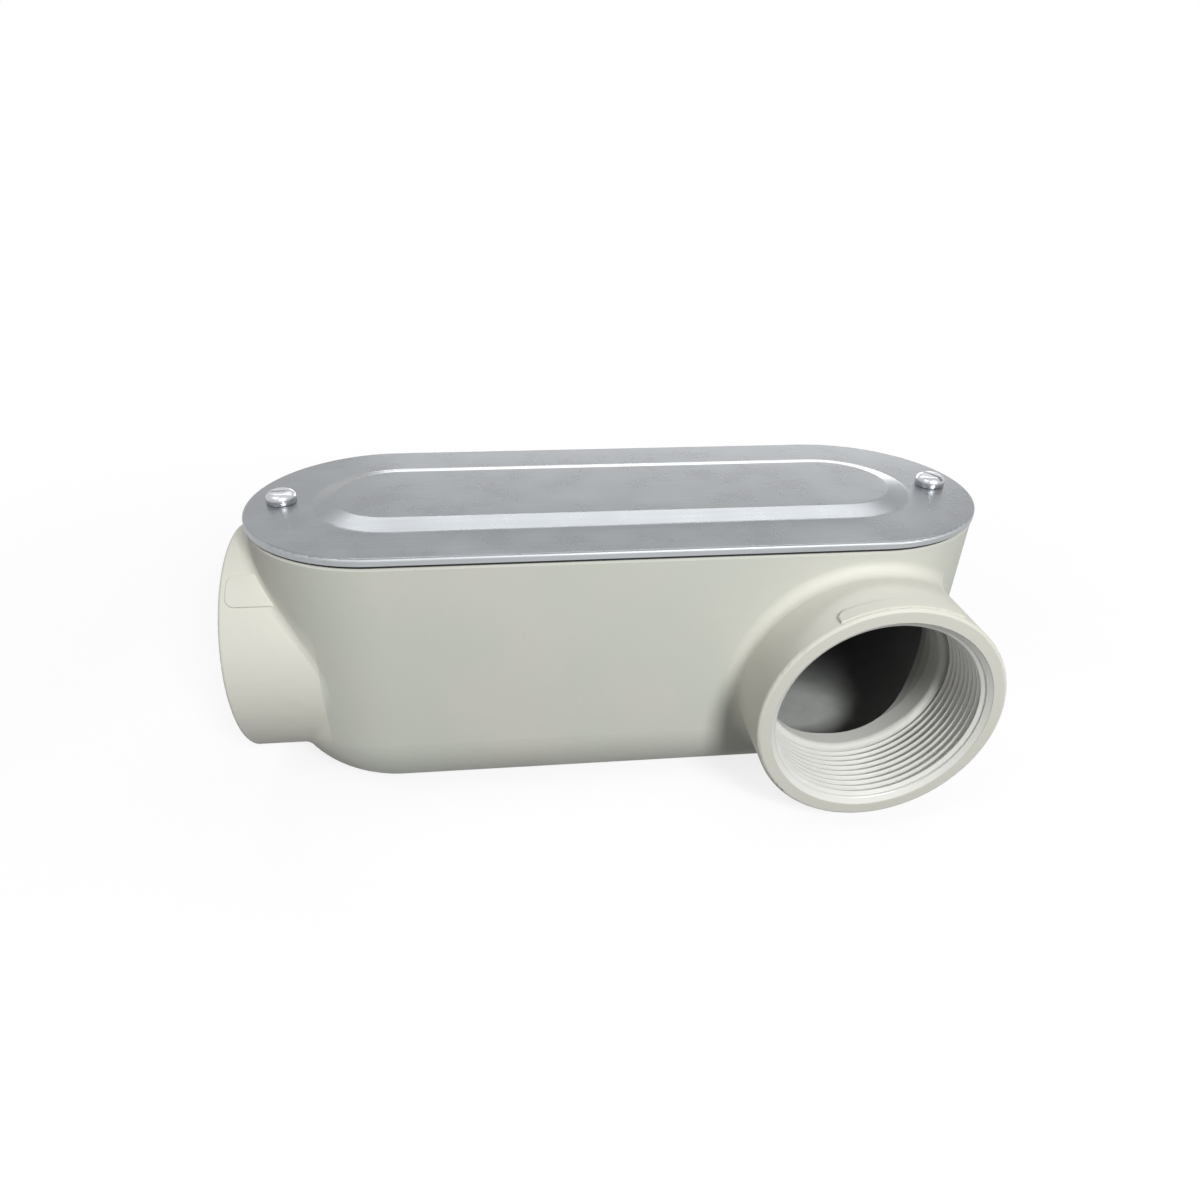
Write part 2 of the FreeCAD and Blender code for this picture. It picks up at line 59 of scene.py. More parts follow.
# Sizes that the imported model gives.
MOUNTS = {mount["name"]: mount for mount in frame["record"]["mounts"]}
JOINTS = {joint["name"]: joint for joint in frame["joints"]}
BODY_LOW, BODY_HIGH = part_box("body")
SCREW_LOW, SCREW_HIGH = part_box("cover_screw_left")
BORE_RADIUS = MOUNTS["side_hub_thread"]["dims"]["r_mm"] * MM
BORE_LENGTH = MOUNTS["side_hub_thread"]["dims"]["length_mm"] * MM
SIDE_HUB = MOUNTS["side_hub_thread"]["pos_m"]
END_HUB = MOUNTS["end_hub_thread"]["pos_m"]
SCREW_SEAT = JOINTS["left_screw_turn"]["pos_m"][2]

# The hubs: their outside, the reach of what is cut in them, and where their bores start.
HUB_RADIUS = BORE_RADIUS + 7.7 * MM
CUT_REACH = BORE_RADIUS + 1.7 * MM
SIDE_BORE_START = -48 * MM
END_BORE_START = -130 * MM
FACE_TOLERANCE = 0.05 * MM
# Painted light: the lacquer on a hub is painted paler, for the light that falls on it, fading out between these
# distances from the hub's outside.
HUB_LIGHT_FULL, HUB_LIGHT_GONE = 1.5 * MM, 6 * MM
# The round along the base, and the depths in the wall between which the finish changes over.
BASE_ROUND = 36 * MM
SKIN_FULL, SKIN_GONE = 2.4 * MM, 3 * MM
# Painted light: the bare casting inside is painted paler round these points behind the hubs, where light comes in,
# fading out between these distances.
INNER_LIGHT_POINTS = (
    (SIDE_HUB[0], 20 * MM - BODY_HIGH.y, 30 * MM),
    (10 * MM - BODY_HIGH.x, 0, 30 * MM),
)
INNER_LIGHT_FULL, INNER_LIGHT_GONE = 50 * MM, 80 * MM

# Modelling: turns wound past each end and trimmed off, the gap that keeps two skins apart, the
# thread sleeve's wall, how near counts as touching, divisions round, and the screw's small edges.
SPARE_TURNS = 2
SKIN_GAP = 0.05 * MM
SLEEVE_WALL = 0.6 * MM
TOUCH = 0.01 * MM
SCREW_STEPS = 40
HEAD_STEPS = 72
SEAT_BEVEL = 0.25 * MM
SLOT_EDGE = 0.12 * MM
# Edges sharper than these stay sharp, or get the slot's small bevel.
THREAD_CREASE = math.radians(24)
SCREW_CREASE = math.radians(30)
SLOT_CREASE = math.radians(50)
SENSOR_WIDTH = 36


def linear(code):
    """Turns an sRGB hex colour into linear red, green and blue."""
    levels = [int(code[i:i + 2], 16) / 255 for i in (1, 3, 5)]
    return tuple(v / 12.92 if v <= 0.04045 else ((v + 0.055) / 1.055) ** 2.4 for v in levels)


def size_prop(name, description, default):
    """A length in metres that shows in the scene's own unit."""
    return bpy.props.FloatProperty(
        name=name, description=description, default=default, unit="LENGTH", precision=5
    )


def share_prop(name, description, default):
    """A share from 0 to 1."""
    return bpy.props.FloatProperty(
        name=name, description=description, default=default, min=0, max=1, subtype="FACTOR"
    )


def colour_prop(name, description, code):
    """A colour whose default is an sRGB hex value."""
    return bpy.props.FloatVectorProperty(
        name=name, description=description, default=linear(code), subtype="COLOR", min=0, max=1
    )


def angle_prop(name, description, degrees):
    """An angle that shows in degrees."""
    return bpy.props.FloatProperty(
        name=name, description=description, default=math.radians(degrees), subtype="ANGLE"
    )


class ConduitFinish(bpy.types.PropertyGroup):
    """Colours and grain of the finishes."""

    lacquer: colour_prop("Lacquer", "Light grey lacquer on the outside of the casting", "#C6C8BF")
    lacquer_cool: colour_prop("Lacquer, cool patch", "Lacquer where it went on thicker", "#C3C7BD")
    lacquer_warm: colour_prop("Lacquer, warm patch", "Lacquer where it went on thinner", "#C9C8C0")
    # Painted light: paler lacquer on the hubs, standing in for the light that falls on them.
    painted_lit_hub_lacquer: colour_prop("Lacquer on hubs", "Lacquer built up on the hubs", "#D6D5CB")
    mouth: colour_prop("Mouth", "Turned face of a hub's mouth", "#CCCBC2")
    # Partly painted shade: bare casting inside, its grey deepened for the shade in the wiring space.
    bare_casting_and_shade: colour_prop("Raw casting", "Oxidised casting deep in the wiring space", "#5A5C5B")
    # Painted light: bare casting painted paler near the hubs, where light comes in through them.
    painted_inner_light: colour_prop("Overspray", "Lacquer dust on the casting behind a hub", "#BCBFBC")
    cut_lacquer: colour_prop("Cut thread", "Thread and bushing, cut and thinly sprayed", "#DCDCD7")
    cover: colour_prop("Cover", "Satin aluminium of the cover", "#8C8F92")
    cover_edge: colour_prop("Cover's edge", "Sheared and tumbled edge of the cover", "#A9ACAF")
    cover_worn: colour_prop("Cover, dull patch", "Aluminium dulled by handling", "#86898C")
    gasket: colour_prop("Gasket", "Black rubber sheet", "#1D1D1E")
    screw: colour_prop("Screw", "Bright zinc plate", "#C2C4C8")
    sand_grain: size_prop("Sand grain", "Grain that the mould leaves on the casting", 1.3 * MM)
    mottle: size_prop("Mottle", "Patches in the lacquer", 34 * MM)
    rolled_grain: size_prop("Rolled grain", "Spacing of the lines along the cover", 0.9 * MM)


class ConduitThread(bpy.types.PropertyGroup):
    """Sizes of the pipe threads and of the screws."""

    pitch: size_prop("Pitch", "Pipe thread, eight to the inch", 3.175 * MM)
    height: size_prop("Height", "Pipe thread, from root to crest", 2.4 * MM)
    taper: share_prop("Taper", "Loss of radius over depth, one in thirty-two", 1 / 32)
    lead_bevel: size_prop("Lead bevel", "Depth of the bevel that leads into the thread", 2 * MM)
    steps: bpy.props.IntProperty(
        name="Steps", description="Divisions in one turn of the pipe thread", default=120, min=24
    )
    screw_pitch: size_prop("Screw pitch", "Cover screw, twenty to the inch", 1.27 * MM)
    screw_radius: size_prop("Screw radius", "Shank of the cover screw", 3.15 * MM)
    screw_height: size_prop("Screw thread height", "Cover screw, from root to crest", 0.7 * MM)
    head_round: size_prop("Head round", "Round over the screw's head", 3 * MM)
    slot_width: size_prop("Slot width", "Driver slot", 1.7 * MM)
    slot_depth: size_prop("Slot depth", "Depth of the driver slot", 2 * MM)
    tip_bevel: size_prop("Tip bevel", "Bevel at the tip of the cover screw", 0.8 * MM)
    left_slot: angle_prop("Left slot", "Left screw's slot from the X axis", 4)
    right_slot: angle_prop("Right slot", "Right screw's slot from the X axis", 118)


class ConduitStudio(bpy.types.PropertyGroup):
    """Camera, lamps and floor."""

    place: bpy.props.FloatVectorProperty(
        name="Camera", description="Place of the camera", default=(-0.04734, -0.34186, 0.26646),
        subtype="TRANSLATION", unit="LENGTH",
    )
    heading: angle_prop("Heading", "Camera turned from straight ahead towards +X", 6.16)
    pitch: angle_prop("Pitch", "Camera looking down", 31.1)
    roll: angle_prop("Roll", "Camera leaning over", 0.82)
    lens: bpy.props.FloatProperty(
        name="Lens", description="Focal length on a 36 mm sensor", default=24.6, unit="CAMERA"
    )
    shift_x: bpy.props.FloatProperty(name="Shift X", description="Sideways shift", default=0.00655)
    shift_y: bpy.props.FloatProperty(name="Shift Y", description="Upward shift", default=0.01857)
    floor_size: size_prop("Floor", "Side of the floor", 6.0)
    ambient: share_prop("Ambient", "Light that comes from all round", 0.13)


def choose_nothing():
    """Leaves edit mode and deselects every object."""
    if bpy.context.object and bpy.context.object.mode != "OBJECT":
        bpy.ops.object.mode_set(mode="OBJECT")
    bpy.ops.object.select_all(action="DESELECT")


def choose(*pieces):
    """Selects only these objects and makes the last one active."""
    choose_nothing()
    for piece in pieces:
        piece.select_set(True)
    bpy.context.view_layer.objects.active = pieces[-1]


def bevel_edges(piece, test, **settings):
    """Bevels the edges whose lower and higher ends pass a test."""
    choose(piece)
    mesh = piece.data
    for group in (mesh.vertices, mesh.edges, mesh.polygons):
        group.foreach_set("select", [False] * len(group))
    for edge in mesh.edges:
        edge.select = test(*sorted(mesh.vertices[i].co.z for i in edge.vertices))
    if not any(edge.select for edge in mesh.edges):
        raise RuntimeError(piece.name + ": no edge to bevel")
    bpy.ops.object.mode_set(mode="EDIT")
    bpy.ops.mesh.bevel(affect="EDGES", **settings)
    bpy.ops.object.mode_set(mode="OBJECT")


def apply_modifier(piece, kind, **settings):
    """Adds a modifier with its settings and applies it."""
    choose(piece)
    modifier = piece.modifiers.new(kind.title(), kind)
    for name, value in settings.items():
        setattr(modifier, name, value)
    bpy.ops.object.modifier_apply(modifier=modifier.name)


def cut_with(piece, tool, operation="DIFFERENCE"):
    """Cuts a piece with a tool and removes the tool."""
    apply_modifier(piece, "BOOLEAN", operation=operation, object=tool, solver="EXACT")
    bpy.data.meshes.remove(tool.data)


def draw_helix(name, profile, pitch, turns, steps):
    """Draws a profile of (radius, height) points and winds it round the Z axis."""
    choose_nothing()
    bpy.ops.mesh.primitive_plane_add(size=pitch, location=(profile[0][0], 0, profile[0][1]))
    piece = bpy.context.object
    piece.name = name
    bpy.ops.object.transform_apply(location=True, rotation=True, scale=True)
    bpy.ops.object.mode_set(mode="EDIT")
    bpy.ops.mesh.select_all(action="SELECT")
    bpy.ops.mesh.merge(type="CENTER")
    for (radius, height), (next_radius, next_height) in zip(profile, profile[1:]):
        step = (next_radius - radius, 0, next_height - height)
        bpy.ops.mesh.extrude_vertices_move(TRANSFORM_OT_translate={"value": step})
    bpy.ops.object.mode_set(mode="OBJECT")
    apply_modifier(
        piece, "SCREW", axis="Z", angle=math.tau, screw_offset=pitch, iterations=turns,
        steps=steps, render_steps=steps, use_normal_calculate=True,
    )
    bpy.ops.object.mode_set(mode="EDIT")
    bpy.ops.mesh.select_all(action="SELECT")
    bpy.ops.mesh.remove_doubles(threshold=0.005 * MM)
    bpy.ops.object.mode_set(mode="OBJECT")
    return piece


def trim(piece, height, keep_above):
    """Cuts a piece level at one height, closes it, and keeps what is above or below."""
    choose(piece)
    bpy.ops.object.mode_set(mode="EDIT")
    bpy.ops.mesh.select_all(action="SELECT")
    bpy.ops.mesh.bisect(
        plane_co=(0, 0, height), plane_no=(0, 0, 1), use_fill=True,
        clear_inner=keep_above, clear_outer=not keep_above, threshold=0.0001 * MM,
    )
    bpy.ops.object.mode_set(mode="OBJECT")


def face_normals(piece):
    """Makes all faces point outwards."""
    choose(piece)
    bpy.ops.object.mode_set(mode="EDIT")
    bpy.ops.mesh.select_all(action="SELECT")
    bpy.ops.mesh.normals_make_consistent(inside=False)
    bpy.ops.object.mode_set(mode="OBJECT")


def set_down(piece, place, turn):
    """Turns a piece, moves it to its place and leaves its object at the origin."""
    choose(piece)
    piece.rotation_euler = turn
    piece.location = place
    bpy.ops.object.transform_apply(location=True, rotation=True, scale=True)


def own_copy(piece, name):
    """A copy of a piece with its own mesh."""
    copy = piece.copy()
    copy.data = piece.data.copy()
    copy.name = copy.data.name = name
    bpy.context.scene.collection.objects.link(copy)
    return copy


def add_node(tree, kind, inputs=None, **settings):
    """Adds a node, sets its properties, and gives its inputs a value or a link."""
    node = tree.nodes.new(kind)
    for name, value in settings.items():
        setattr(node, name, value)
    for key, value in (inputs or {}).items():
        if isinstance(value, bpy.types.NodeSocket):
            tree.links.new(value, node.inputs[key])
        else:
            node.inputs[key].default_value = value
    return node


def new_material(name):
    """An empty node material, its tree and the piece's own coordinates."""
    material = bpy.data.materials.new(name)
    material.use_nodes = True
    tree = material.node_tree
    tree.nodes.clear()
    place = add_node(tree, "ShaderNodeTexCoord").outputs["Object"]
    return material, tree, place


def paint(piece, material):
    """Gives a piece one material."""
    piece.data.materials.clear()
    piece.data.materials.append(material)


def colour4(colour, share=1):
    """A share of a colour, with its alpha."""
    return (*(level * share for level in colour), 1)


def hub_masks(tree, across, up, along, middle, bore_start, mouth):
    """Distance from a hub's axis, and masks of its outside, its cut bore and its mouth.

    The three coordinates run across, up and along the hub. Its axis goes through middle, and
    its mouth is at the low end of along.
    """
    offsets = [
        add_node(tree, "ShaderNodeMath", {0: way, 1: centre}, operation="SUBTRACT").outputs[0]
        for way, centre in zip((across, up), middle)
    ]
    pair = add_node(tree, "ShaderNodeCombineXYZ", {"X": offsets[0], "Y": offsets[1]})
    reach = add_node(
        tree, "ShaderNodeVectorMath", {0: pair.outputs[0]}, operation="LENGTH"
    ).outputs["Value"]
    off_outside = add_node(tree, "ShaderNodeMath", {0: reach, 1: HUB_RADIUS}, operation="SUBTRACT")
    off_outside = add_node(
        tree, "ShaderNodeMath", {0: off_outside.outputs[0]}, operation="ABSOLUTE"
    )
    outside = add_node(
        tree, "ShaderNodeMapRange",
        {
            "Value": off_outside.outputs[0], "From Min": HUB_LIGHT_FULL, "From Max": HUB_LIGHT_GONE,
            "To Min": 1.0, "To Max": 0.0,
        },
    ).outputs["Result"]
    bore = add_node(
        tree, "ShaderNodeMath", {0: reach, 1: CUT_REACH}, operation="LESS_THAN"
    ).outputs[0]
    in_front = add_node(
        tree, "ShaderNodeMath", {0: along, 1: bore_start}, operation="LESS_THAN"
    ).outputs[0]
    outside, bore = (
        add_node(tree, "ShaderNodeMath", {0: mask, 1: in_front}, operation="MULTIPLY").outputs[0]
        for mask in (outside, bore)
    )
    face = add_node(
        tree, "ShaderNodeMath", {0: along, 1: mouth, 2: FACE_TOLERANCE}, operation="COMPARE"
    ).outputs[0]
    return reach, (outside, bore, face)


def inside_mask(tree, x, y, z):
    """1 in the wiring space and 0 on the outside, with the change hidden in the wall.

    Walls and base share one round, so the depth in the wall is measured from its middle.
    """
    past_end = add_node(tree, "ShaderNodeMath", {0: x}, operation="ABSOLUTE")
    past_end = add_node(
        tree, "ShaderNodeMath", {0: past_end.outputs[0], 1: BODY_HIGH.x - BODY_HIGH.y},
        operation="SUBTRACT",
    )
    past_end = add_node(
        tree, "ShaderNodeMath", {0: past_end.outputs[0], 1: 0.0}, operation="MAXIMUM"
    )
    from_spine = add_node(tree, "ShaderNodeCombineXYZ", {"X": past_end.outputs[0], "Y": y})
    from_spine = add_node(
        tree, "ShaderNodeVectorMath", {0: from_spine.outputs[0]}, operation="LENGTH"
    )
    across = add_node(
        tree, "ShaderNodeMath", {0: from_spine.outputs["Value"], 1: BODY_HIGH.y - BASE_ROUND},
        operation="SUBTRACT",
    )
    across = add_node(tree, "ShaderNodeMath", {0: across.outputs[0], 1: 0.0}, operation="MAXIMUM")
    below = add_node(tree, "ShaderNodeMath", {0: BASE_ROUND, 1: z}, operation="SUBTRACT")
    below = add_node(tree, "ShaderNodeMath", {0: below.outputs[0], 1: 0.0}, operation="MAXIMUM")
    pair = add_node(tree, "ShaderNodeCombineXYZ", {"X": across.outputs[0], "Y": below.outputs[0]})
    from_middle = add_node(tree, "ShaderNodeVectorMath", {0: pair.outputs[0]}, operation="LENGTH")
    return add_node(
        tree, "ShaderNodeMapRange",
        {
            "Value": from_middle.outputs["Value"], "From Min": BASE_ROUND - SKIN_GONE,
            "From Max": BASE_ROUND - SKIN_FULL, "To Min": 1.0, "To Max": 0.0,
        },
    ).outputs["Result"]


def lacquer_colour(tree, place, patches, on_hub, finish):
    """Lacquer in cooler and warmer patches, painted paler on the hubs as painted light, with specks of grit."""
    cool_to_warm = add_node(tree, "ShaderNodeValToRGB", {0: patches})
    ramp = cool_to_warm.color_ramp
    ramp.elements[0].position, ramp.elements[1].position = 0.32, 0.68
    ramp.elements[0].color = colour4(finish.lacquer_cool)
    ramp.elements[1].color = colour4(finish.lacquer_warm)
    ramp.elements.new(0.5).color = colour4(finish.lacquer)
    # Painted light: the hubs are painted paler for the light that falls on them.
    painted_lit_hubs = add_node(
        tree, "ShaderNodeMix",
        {"Factor": on_hub, "A": cool_to_warm.outputs["Color"], "B": colour4(finish.painted_lit_hub_lacquer)},
        data_type="RGBA",
    )
    # Grit under the lacquer, 6 mm apart: specks half a millimetre across, drawn at one to show.
    grit = add_node(
        tree, "ShaderNodeTexVoronoi", {"Vector": place, "Scale": 1 / (6 * MM), "Randomness": 1.0}
    )
    speck = add_node(
        tree, "ShaderNodeMapRange",
        {
            "Value": grit.outputs["Distance"], "From Min": 0.04, "From Max": 0.10,
            "To Min": 0.95, "To Max": 1.0,
        },
    )
    return add_node(
        tree, "ShaderNodeMix",
        {"Factor": 1.0, "A": painted_lit_hubs.outputs["Result"], "B": speck.outputs["Result"]},
        data_type="RGBA", blend_type="MULTIPLY",
    ).outputs["Result"]


def raw_colour_and_light(tree, place, finish):
    """Bare casting, cloudy at the scale of the metal's flow, its grey deepened as painted shade and paler near the
    hubs as painted light.
    """
    distances = [
        add_node(
            tree, "ShaderNodeVectorMath", {0: place, 1: point}, operation="DISTANCE"
        ).outputs["Value"]
        for point in INNER_LIGHT_POINTS
    ]
    behind_hub = add_node(
        tree, "ShaderNodeMath", {0: distances[0], 1: distances[1]}, operation="MINIMUM"
    )
    # Painted light and shade: paler near the hubs, where light comes in, and darker further in.
    dust_and_painted_light = add_node(
        tree, "ShaderNodeMapRange",
        {
            "Value": behind_hub.outputs[0], "From Min": INNER_LIGHT_FULL, "From Max": INNER_LIGHT_GONE,
            "To Min": 1.0, "To Max": 0.0,
        },
    )
    lit_bare_casting = add_node(
        tree, "ShaderNodeMix",
        {
            "Factor": dust_and_painted_light.outputs["Result"], "A": colour4(finish.bare_casting_and_shade),
            "B": colour4(finish.painted_inner_light),
        },
        data_type="RGBA",
    )
    cloud = add_node(
        tree, "ShaderNodeTexNoise",
        {"Vector": place, "Scale": 1 / (9 * MM), "Detail": 4.0, "Roughness": 0.6},
    )
    shade = add_node(
        tree, "ShaderNodeMapRange",
        {
            "Value": cloud.outputs["Fac"], "From Min": 0.3, "From Max": 0.7,
            "To Min": 0.85, "To Max": 1.0,
        },
    )
    return add_node(
        tree, "ShaderNodeMix",
        {"Factor": 1.0, "A": lit_bare_casting.outputs["Result"], "B": shade.outputs["Result"]},
        data_type="RGBA", blend_type="MULTIPLY",
    ).outputs["Result"]


def lacquered_casting(finish):
    """Sand-cast aluminium under a sprayed light grey lacquer.

    The lacquer is nearly matt and fills the sand grain only partly, so the eye sees a soft
    orange peel, patches of warmer and cooler grey and a few specks of trapped grit, and the
    hubs are painted paler as painted light. The wiring space has no lacquer: there the bare
    casting is rougher and darker, its grey deepened as painted shade, and paler near the
    hubs as painted light where light comes in. The bores are cut and thinly sprayed, and
    the faces of the mouths are turned, with rings a feed apart.
    """
    material, tree, place = new_material("lacquered_cast_aluminium")
    axes = add_node(tree, "ShaderNodeSeparateXYZ", {0: place})
    x, y, z = (axes.outputs[i] for i in range(3))
    side_reach, side_masks = hub_masks(
        tree, x, z, y, (SIDE_HUB[0], SIDE_HUB[2]), SIDE_BORE_START, BODY_LOW.y
    )
    end_reach, end_masks = hub_masks(
        tree, y, z, x, (END_HUB[1], END_HUB[2]), END_BORE_START, BODY_LOW.x
    )
    on_hub, cut, faces = (
        add_node(tree, "ShaderNodeMath", {0: side, 1: end}, operation="MAXIMUM").outputs[0]
        for side, end in zip(side_masks, end_masks)
    )
    inside = inside_mask(tree, x, y, z)
    mottle = add_node(
        tree, "ShaderNodeTexNoise",
        {"Vector": place, "Scale": 1 / finish.mottle, "Detail": 3.0, "Roughness": 0.55},
    )
    colour = lacquer_colour(tree, place, mottle.outputs["Fac"], on_hub, finish)
    for mask, over in (
        (inside, raw_colour_and_light(tree, place, finish)),
        (cut, colour4(finish.cut_lacquer)),
        (faces, colour4(finish.mouth)),
    ):
        colour = add_node(
            tree, "ShaderNodeMix", {"Factor": mask, "A": colour, "B": over}, data_type="RGBA"
        ).outputs["Result"]

    # Orange peel about 7 mm long, under sand grain half a millimetre across that is drawn
    # coarser to show.
    peel = add_node(
        tree, "ShaderNodeTexNoise", {"Vector": place, "Scale": 1 / (7 * MM), "Detail": 1.0}
    )
    grain = add_node(
        tree, "ShaderNodeTexNoise",
        {"Vector": place, "Scale": 1 / finish.sand_grain, "Detail": 2.0, "Roughness": 0.6},
    )
    # Turned rings on the mouths: a feed of 0.25 mm, drawn at 0.9 mm to show.
    face_reach = add_node(
        tree, "ShaderNodeMix", {"Factor": side_masks[2], "A": end_reach, "B": side_reach},
        data_type="FLOAT",
    )
    rings = add_node(
        tree, "ShaderNodeMath", {0: face_reach.outputs["Result"], 1: math.tau / (0.9 * MM)},
        operation="MULTIPLY",
    )
    rings = add_node(tree, "ShaderNodeMath", {0: rings.outputs[0]}, operation="SINE")
    rings = add_node(tree, "ShaderNodeMath", {0: rings.outputs[0], 1: faces}, operation="MULTIPLY")
    slow = add_node(
        tree, "ShaderNodeBump",
        {"Strength": 0.35, "Distance": 0.25 * MM, "Height": peel.outputs["Fac"]},
    )
    fine = add_node(
        tree, "ShaderNodeBump",
        {
            "Strength": 0.3, "Distance": 0.1 * MM, "Height": grain.outputs["Fac"],
            "Normal": slow.outputs["Normal"],
        },
    )
    turned = add_node(
        tree, "ShaderNodeBump",
        {
            "Strength": 0.3, "Distance": 0.04 * MM, "Height": rings.outputs[0],
            "Normal": fine.outputs["Normal"],
        },
    )
    roughness = add_node(
        tree, "ShaderNodeMapRange",
        {
            "Value": mottle.outputs["Fac"], "From Min": 0.3, "From Max": 0.7,
            "To Min": 0.54, "To Max": 0.64,
        },
    )
    roughness = add_node(
        tree, "ShaderNodeMix", {"Factor": inside, "A": roughness.outputs["Result"], "B": 0.68},
        data_type="FLOAT",
    )
    shader = add_node(tree, "ShaderNodeBsdfPrincipled", {
        "Base Color": colour,
        "Specular IOR Level": 0.3,
        "Roughness": roughness.outputs["Result"],
        "Normal": turned.outputs["Normal"],
    })
    add_node(tree, "ShaderNodeOutputMaterial", {"Surface": shader.outputs["BSDF"]})
    return material


def cut_thread(finish):
    """Pipe thread tapped in the casting and thinly sprayed.

    The tap leaves smooth flanks with fine chatter across them. They are paler and glossier
    than the cast skin, and the metal shows a little through the spray.
    """
    material, tree, place = new_material("tapped_aluminium_thin_lacquer")
    # Chatter half a millimetre long, drawn at 1.6 mm to show.
    chatter = add_node(
        tree, "ShaderNodeTexNoise",
        {"Vector": place, "Scale": 1 / (1.6 * MM), "Detail": 3.0, "Roughness": 0.7},
    )
    tone = add_node(
        tree, "ShaderNodeTexNoise", {"Vector": place, "Scale": 1 / (14 * MM), "Detail": 2.0}
    )
    colour = add_node(
        tree, "ShaderNodeMix",
        {
            "Factor": tone.outputs["Fac"], "A": colour4(finish.cut_lacquer, 0.88),
            "B": colour4(finish.cut_lacquer),
        },
        data_type="RGBA",
    )
    roughness = add_node(
        tree, "ShaderNodeMapRange",
        {
            "Value": chatter.outputs["Fac"], "From Min": 0.3, "From Max": 0.7,
            "To Min": 0.34, "To Max": 0.5,
        },
    )
    bump = add_node(
        tree, "ShaderNodeBump",
        {"Strength": 0.25, "Distance": 0.08 * MM, "Height": chatter.outputs["Fac"]},
    )
    shader = add_node(tree, "ShaderNodeBsdfPrincipled", {
        "Base Color": colour.outputs["Result"],
        "Roughness": roughness.outputs["Result"],
        "Metallic": 0.2,
        "Normal": bump.outputs["Normal"],
    })
    add_node(tree, "ShaderNodeOutputMaterial", {"Surface": shader.outputs["BSDF"]})
    return material


def satin_aluminium(finish):
    """Pressed aluminium sheet with a satin, rolled surface.

    Fine lines run along the cover, handling has dulled it in patches, and its sheared edge is
    tumbled dull and pale. The highlights spread softly over it.
    """
    material, tree, place = new_material("satin_rolled_aluminium")
    # Rolled lines, drawn coarser than the real 0.2 mm to show, each about 60 mm long.
    stretched = add_node(
        tree, "ShaderNodeMapping",
        {"Vector": place, "Scale": (1 / (60 * MM), 1 / finish.rolled_grain, 1 / (3 * MM))},
    )
    lines = add_node(
        tree, "ShaderNodeTexNoise",
        {"Vector": stretched.outputs[0], "Scale": 1.0, "Detail": 3.0, "Roughness": 0.6},
    )
    patches = add_node(
        tree, "ShaderNodeTexNoise",
        {"Vector": place, "Scale": 1 / (22 * MM), "Detail": 4.0, "Roughness": 0.6},
    )
    pitted = add_node(
        tree, "ShaderNodeTexNoise", {"Vector": place, "Scale": 1 / (1.4 * MM), "Detail": 2.0}
    )
    tone = add_node(
        tree, "ShaderNodeMapRange",
        {"Value": patches.outputs["Fac"], "From Min": 0.35, "From Max": 0.65},
    )
    dulled = add_node(
        tree, "ShaderNodeMix",
        {
            "Factor": tone.outputs["Result"], "A": colour4(finish.cover_worn),
            "B": colour4(finish.cover),
        },
        data_type="RGBA",
    )
    # The tumbled edge lies below the flat that the screws sit on.
    edge = add_node(
        tree, "ShaderNodeMapRange",
        {
            "Value": add_node(tree, "ShaderNodeSeparateXYZ", {0: place}).outputs[2],
            "From Min": SCREW_SEAT - 0.6 * MM, "From Max": SCREW_SEAT - 0.02 * MM,
            "To Min": 1.0, "To Max": 0.0,
        },
    )
    edged = add_node(
        tree, "ShaderNodeMix",
        {
            "Factor": edge.outputs["Result"], "A": dulled.outputs["Result"],
            "B": colour4(finish.cover_edge),
        },
        data_type="RGBA",
    )
    streak = add_node(
        tree, "ShaderNodeMapRange",
        {
            "Value": lines.outputs["Fac"], "From Min": 0.3, "From Max": 0.7,
            "To Min": 0.95, "To Max": 1.04,
        },
    )
    colour = add_node(
        tree, "ShaderNodeMix",
        {"Factor": 1.0, "A": edged.outputs["Result"], "B": streak.outputs["Result"]},
        data_type="RGBA", blend_type="MULTIPLY",
    )
    roughness = add_node(
        tree, "ShaderNodeMapRange",
        {
            "Value": patches.outputs["Fac"], "From Min": 0.3, "From Max": 0.7,
            "To Min": 0.25, "To Max": 0.32,
        },
    )
    roughness = add_node(
        tree, "ShaderNodeMix",
        {"Factor": edge.outputs["Result"], "A": roughness.outputs["Result"], "B": 0.6},
        data_type="FLOAT",
    )
    line_bump = add_node(
        tree, "ShaderNodeBump",
        {"Strength": 0.2, "Distance": 0.03 * MM, "Height": lines.outputs["Fac"]},
    )
    bump = add_node(
        tree, "ShaderNodeBump",
        {
            "Strength": 0.06, "Distance": 0.04 * MM, "Height": pitted.outputs["Fac"],
            "Normal": line_bump.outputs["Normal"],
        },
    )
    shader = add_node(tree, "ShaderNodeBsdfPrincipled", {
        "Base Color": colour.outputs["Result"],
        "Metallic": 1.0,
        "Roughness": roughness.outputs["Result"],
        "Normal": bump.outputs["Normal"],
    })
    add_node(tree, "ShaderNodeOutputMaterial", {"Surface": shader.outputs["BSDF"]})
    return material


